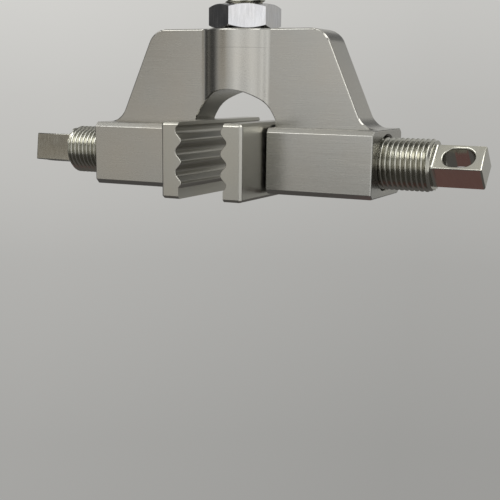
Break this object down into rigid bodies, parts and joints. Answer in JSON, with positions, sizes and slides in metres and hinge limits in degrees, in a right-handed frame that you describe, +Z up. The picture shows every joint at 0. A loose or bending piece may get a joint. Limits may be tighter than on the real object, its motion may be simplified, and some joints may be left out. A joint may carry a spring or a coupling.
{
  "type": "tensile test grip",
  "caption": "Hanging screw-action tensile grip: a steel yoke whose two square-ended screws close a pair of meshing wave-faced jaws; hangs from a threaded stud with a jam nut.",
  "frame": {"origin": "on the load axis at the top face of the jam nut, where the stud leaves it", "axes": "+Z up along the load axis and the stud, +X along the clamping screws to the right, +Y to the back"},
  "size_m": [0.201, 0.072, 0.0883],
  "materials": {
    "yoke_steel": "satin",
    "jaw_steel": "satin",
    "shank_steel": "ground",
    "screw_steel": "bright",
    "nut_steel": "polished",
    "stud_steel": "bright",
    "pin_steel": "ground"
  },
  "bodies": {
    "yoke": {"yoke": "yoke_steel", "stud": "stud_steel", "jam_nut": "nut_steel"},
    "left_jaw": {"left_jaw": "jaw_steel", "left_jaw_stem": "pin_steel", "left_jaw_pin": "pin_steel", "left_shank": "shank_steel", "left_retaining_pins": "pin_steel", "left_thrust_ball": "pin_steel"},
    "left_screw": {"left_clamping_screw": "screw_steel"},
    "right_jaw": {"right_jaw": "jaw_steel", "right_jaw_stem": "pin_steel", "right_jaw_pin": "pin_steel", "right_shank": "shank_steel", "right_retaining_pins": "pin_steel", "right_thrust_ball": "pin_steel"},
    "right_screw": {"right_clamping_screw": "screw_steel"}
  },
  "joints": [
    {"name": "left_jaw_travel", "type": "slide", "parent": "yoke", "child": "left_jaw", "axis": [1, 0, 0], "range_m": [0, 0.01005]},
    {"name": "left_screw_turn", "type": "hinge", "parent": "left_jaw", "child": "left_screw", "pos_m": [-0.0817, 0, -0.0596], "axis": [1, 0, 0], "range_deg": [0, 1810]},
    {"name": "right_jaw_travel", "type": "slide", "parent": "yoke", "child": "right_jaw", "axis": [-1, 0, 0], "range_m": [-0.0008, 0.00925]},
    {"name": "right_screw_turn", "type": "hinge", "parent": "right_jaw", "child": "right_screw", "pos_m": [0.0809, 0, -0.0596], "axis": [-1, 0, 0], "range_deg": [-145, 1666]}
  ],
  "couplings": [
    {"joint": "left_screw_turn", "follows": "left_jaw_travel", "rad_per_m": 3141.6},
    {"joint": "right_screw_turn", "follows": "right_jaw_travel", "rad_per_m": 3141.6}
  ]
}
